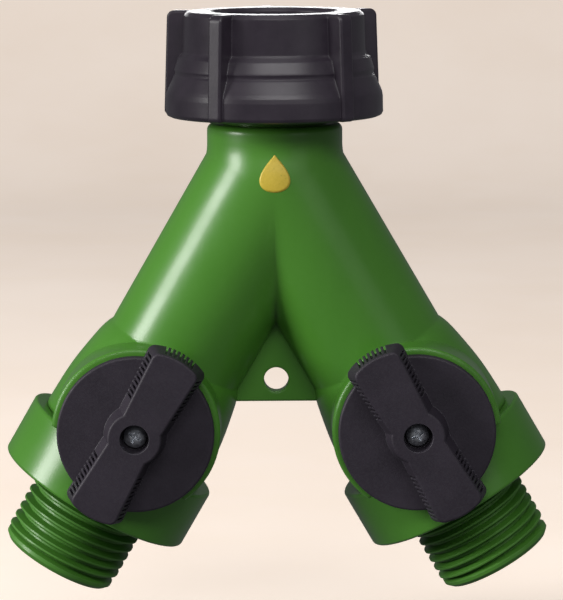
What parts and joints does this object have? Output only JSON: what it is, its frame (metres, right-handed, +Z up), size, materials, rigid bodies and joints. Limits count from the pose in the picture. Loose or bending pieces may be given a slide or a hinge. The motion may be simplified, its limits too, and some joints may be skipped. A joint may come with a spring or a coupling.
{
  "type": "hose splitter",
  "caption": "Y shaped garden hose splitter with a swivel inlet nut, two threaded outlets and quarter turn ball valves turned by round knobs with bar handles.",
  "frame": {"origin": "centre of the swivel nut's mouth, on its top plane", "axes": "+Z up along the inlet axis, out of the mouth; -Y towards the knobs; +X to the right seen from the knobs"},
  "size_m": [0.1216, 0.0556, 0.1297],
  "materials": {
    "green_plastic": "satin gloss, moulded",
    "black_nut_plastic": "satin, moulded",
    "knob_plastic": "fine matt, moulded",
    "spring_steel": "drawn",
    "washer_rubber": "matt",
    "seal_rubber": "matt",
    "seat_plastic": "waxy",
    "ball_plastic": "polished",
    "stem_plastic": "smooth",
    "screw_steel": "zinc plated"
  },
  "bodies": {
    "splitter_body": {"body": "green_plastic", "retaining_ring": "spring_steel", "inlet_washer": "washer_rubber", "outlet_fitting_left": "green_plastic", "fitting_o_ring_left": "seal_rubber", "inlet_seat_left": "seat_plastic", "outlet_seat_left": "seat_plastic", "outlet_fitting_right": "green_plastic", "fitting_o_ring_right": "seal_rubber", "inlet_seat_right": "seat_plastic", "outlet_seat_right": "seat_plastic"},
    "inlet_nut": {"swivel_nut": "black_nut_plastic"},
    "left_valve": {"knob_left": "knob_plastic", "knob_screw_left": "screw_steel", "stem_left": "stem_plastic", "stem_o_ring_left": "seal_rubber", "ball_left": "ball_plastic"},
    "right_valve": {"knob_right": "knob_plastic", "knob_screw_right": "screw_steel", "stem_right": "stem_plastic", "stem_o_ring_right": "seal_rubber", "ball_right": "ball_plastic"}
  },
  "joints": [
    {"name": "nut_spin", "type": "hinge", "parent": "splitter_body", "child": "inlet_nut", "pos_m": [0, 0, -0.0213], "axis": [0, 0, 1], "continuous": true},
    {"name": "left_valve_turn", "type": "hinge", "parent": "splitter_body", "child": "left_valve", "pos_m": [-0.03055, 0, -0.09021], "axis": [0, 1, 0], "range_deg": [0, 90]},
    {"name": "right_valve_turn", "type": "hinge", "parent": "splitter_body", "child": "right_valve", "pos_m": [0.03055, 0, -0.09021], "axis": [0, 1, 0], "range_deg": [0, 90]}
  ]
}
